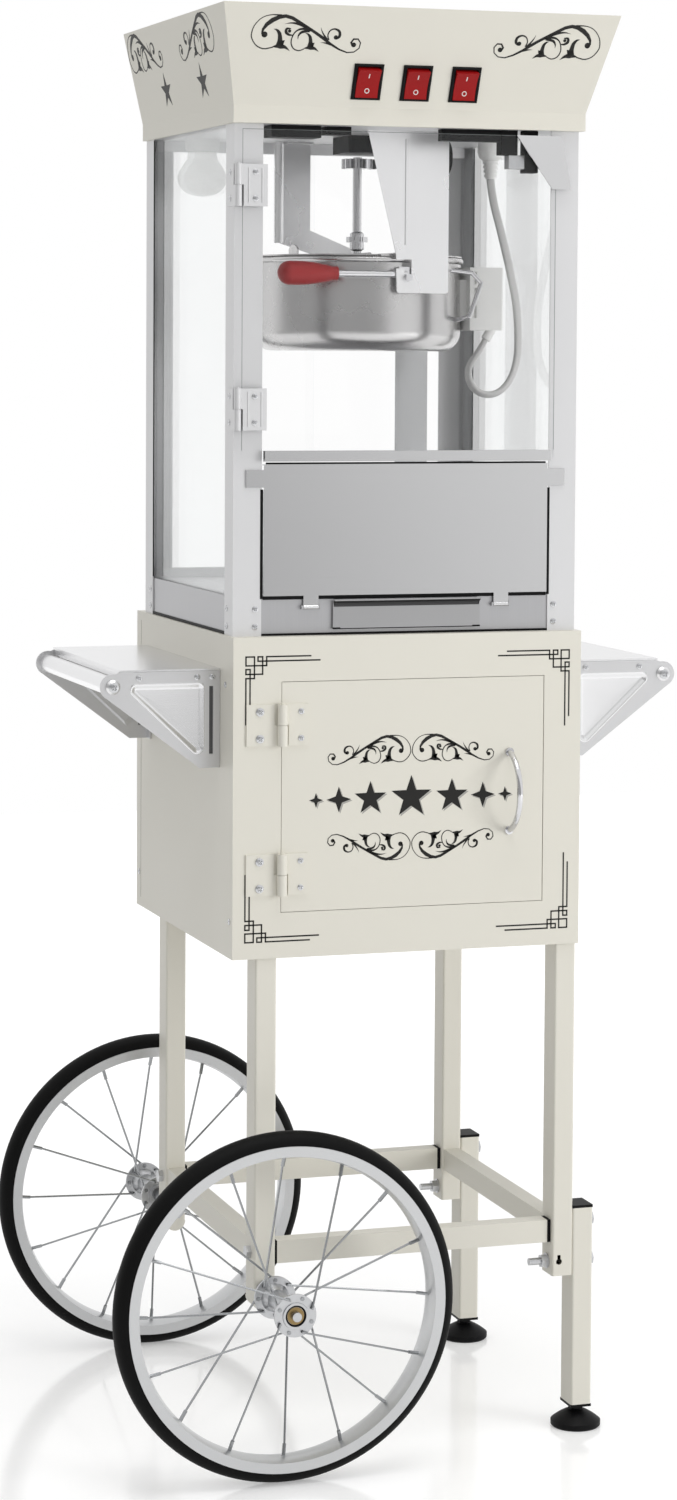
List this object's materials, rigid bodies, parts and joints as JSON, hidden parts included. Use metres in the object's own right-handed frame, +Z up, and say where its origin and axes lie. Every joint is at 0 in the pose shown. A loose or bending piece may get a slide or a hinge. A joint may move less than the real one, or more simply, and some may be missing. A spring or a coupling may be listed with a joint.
{
  "type": "popcorn maker",
  "caption": "Glass-walled popcorn machine with a tilting stirred kettle, standing on a cabinet cart with spoked wheels, side shelves and levelling feet.",
  "frame": {"origin": "on the floor, under the centre of the overall box", "axes": "+X to the right seen from the front, -Y towards the front with the doors and switches, +Z up"},
  "size_m": [0.684, 0.638, 1.57],
  "materials": {
    "cream_paint": "smooth satin powder coat, pale cream",
    "bright_steel": "zinc-plated steel",
    "chrome": "polished",
    "silver_sheet": "satin silver",
    "stainless": "brushed",
    "alloy_rim": "satin",
    "tyre": "matt rubber",
    "black_plastic": "fine matt",
    "red_plastic": "gloss, slightly see-through rockers",
    "white_plastic": "semi-matt",
    "clear_glass": "clear",
    "frosted_bulb": "frosted"
  },
  "bodies": {
    "cart_and_cabinet": {"cart_front": "cream_paint", "cart_sides": "cream_paint", "cart_back": "cream_paint", "cart_decks": "cream_paint", "cart_hinge_fixed": "cream_paint", "shelf_tops": "silver_sheet", "shelf_brackets": "silver_sheet", "shelf_bars": "silver_sheet", "legs": "cream_paint", "cross_rails": "cream_paint", "tube_caps": "black_plastic", "leg_bolts": "bright_steel", "axles": "bright_steel", "roof_canopy": "cream_paint", "roof_deck": "silver_sheet", "corner_posts": "silver_sheet", "side_glass": "clear_glass", "machine_base": "silver_sheet", "popcorn_floor": "silver_sheet", "door_hinge_fixed": "bright_steel", "rear_tracks": "silver_sheet", "kettle_hangers": "silver_sheet", "drive_motor": "black_plastic", "lamp_socket": "white_plastic", "lamp_bulb": "frosted_bulb", "kettle_cord": "white_plastic", "cord_plug": "white_plastic", "switch_bezels": "black_plastic"},
    "cart_door": {"cart_door": "cream_paint", "cart_hinge_moving": "cream_paint", "cart_door_handle": "chrome"},
    "front_wheel": {"front_tyre": "tyre", "front_rim": "alloy_rim", "front_spokes": "bright_steel", "front_hub": "bright_steel"},
    "rear_wheel": {"rear_tyre": "tyre", "rear_rim": "alloy_rim", "rear_spokes": "bright_steel", "rear_hub": "bright_steel"},
    "foot_front": {"foot_front": "black_plastic"},
    "foot_rear": {"foot_rear": "black_plastic"},
    "glass_door": {"door_glass": "clear_glass", "door_trim": "stainless", "door_hinge_moving": "bright_steel"},
    "serving_panel": {"serving_panel": "stainless"},
    "kernel_drawer": {"kernel_drawer": "stainless"},
    "rear_door_left": {"rear_door_left": "clear_glass"},
    "rear_door_right": {"rear_door_right": "clear_glass"},
    "kettle": {"kettle_pot": "chrome", "kettle_arm": "chrome", "handle_grip": "red_plastic", "kettle_socket": "white_plastic"},
    "kettle_lid_left": {"kettle_lid_left": "chrome"},
    "kettle_lid_right": {"kettle_lid_right": "chrome"},
    "stirrer": {"stirrer": "chrome", "stirrer_gear": "chrome"},
    "drive_gear": {"drive_gear": "chrome"},
    "rocker_left": {"rocker_left": "red_plastic"},
    "rocker_middle": {"rocker_middle": "red_plastic"},
    "rocker_right": {"rocker_right": "red_plastic"}
  },
  "joints": [
    {"name": "cart_door_swing", "type": "hinge", "parent": "cart_and_cabinet", "child": "cart_door", "pos_m": [-0.1382, -0.2079, 0.722], "axis": [0, 0, -1], "range_deg": [0, 110]},
    {"name": "glass_door_swing", "type": "hinge", "parent": "cart_and_cabinet", "child": "glass_door", "pos_m": [-0.1875, -0.198, 1.2615], "axis": [0, 0, -1], "range_deg": [0, 110]},
    {"name": "serving_panel_tilt", "type": "hinge", "parent": "cart_and_cabinet", "child": "serving_panel", "pos_m": [0.008, -0.1892, 0.9285], "axis": [1, 0, 0], "range_deg": [0, 60]},
    {"name": "kernel_drawer_slide", "type": "slide", "parent": "cart_and_cabinet", "child": "kernel_drawer", "axis": [0, -1, 0], "range_m": [0, 0.12]},
    {"name": "rear_left_slide", "type": "slide", "parent": "cart_and_cabinet", "child": "rear_door_left", "axis": [1, 0, 0], "range_m": [0, 0.18]},
    {"name": "rear_right_slide", "type": "slide", "parent": "cart_and_cabinet", "child": "rear_door_right", "axis": [-1, 0, 0], "range_m": [0, 0.18]},
    {"name": "kettle_tilt", "type": "hinge", "parent": "cart_and_cabinet", "child": "kettle", "pos_m": [0.028, 0, 1.286], "axis": [0, -1, 0], "range_deg": [0, 55], "deforming": ["kettle_cord"]},
    {"name": "lid_left_lift", "type": "hinge", "parent": "kettle", "child": "kettle_lid_left", "pos_m": [-0.0035, 0, 1.3124], "axis": [0, 1, 0], "range_deg": [0, 60]},
    {"name": "lid_right_lift", "type": "hinge", "parent": "kettle", "child": "kettle_lid_right", "pos_m": [0.0255, 0, 1.3124], "axis": [0, -1, 0], "range_deg": [0, 60]},
    {"name": "stirrer_spin", "type": "hinge", "parent": "kettle", "child": "stirrer", "pos_m": [0.011, 0, 1.32], "axis": [0, 0, 1], "continuous": true},
    {"name": "drive_gear_spin", "type": "hinge", "parent": "cart_and_cabinet", "child": "drive_gear", "pos_m": [0.039, 0, 1.42], "axis": [0, 0, 1], "continuous": true},
    {"name": "rocker_left_press", "type": "hinge", "parent": "cart_and_cabinet", "child": "rocker_left", "pos_m": [-0.0475, -0.20639, 1.49413], "axis": [-1, 0, 0], "range_deg": [0, 14]},
    {"name": "rocker_middle_press", "type": "hinge", "parent": "cart_and_cabinet", "child": "rocker_middle", "pos_m": [0.008, -0.20639, 1.49413], "axis": [-1, 0, 0], "range_deg": [0, 14]},
    {"name": "rocker_right_press", "type": "hinge", "parent": "cart_and_cabinet", "child": "rocker_right", "pos_m": [0.0635, -0.20639, 1.49413], "axis": [-1, 0, 0], "range_deg": [0, 14]},
    {"name": "front_wheel_spin", "type": "hinge", "parent": "cart_and_cabinet", "child": "front_wheel", "pos_m": [-0.153, -0.274, 0.189], "axis": [0, 1, 0], "continuous": true},
    {"name": "rear_wheel_spin", "type": "hinge", "parent": "cart_and_cabinet", "child": "rear_wheel", "pos_m": [-0.153, 0.274, 0.189], "axis": [0, 1, 0], "continuous": true},
    {"name": "foot_front_level", "type": "slide", "parent": "cart_and_cabinet", "child": "foot_front", "axis": [0, 0, -1], "range_m": [0, 0.015]},
    {"name": "foot_rear_level", "type": "slide", "parent": "cart_and_cabinet", "child": "foot_rear", "axis": [0, 0, -1], "range_m": [0, 0.015]}
  ],
  "couplings": [
    {"joint": "drive_gear_spin", "follows": "stirrer_spin", "ratio": -1.3333}
  ]
}
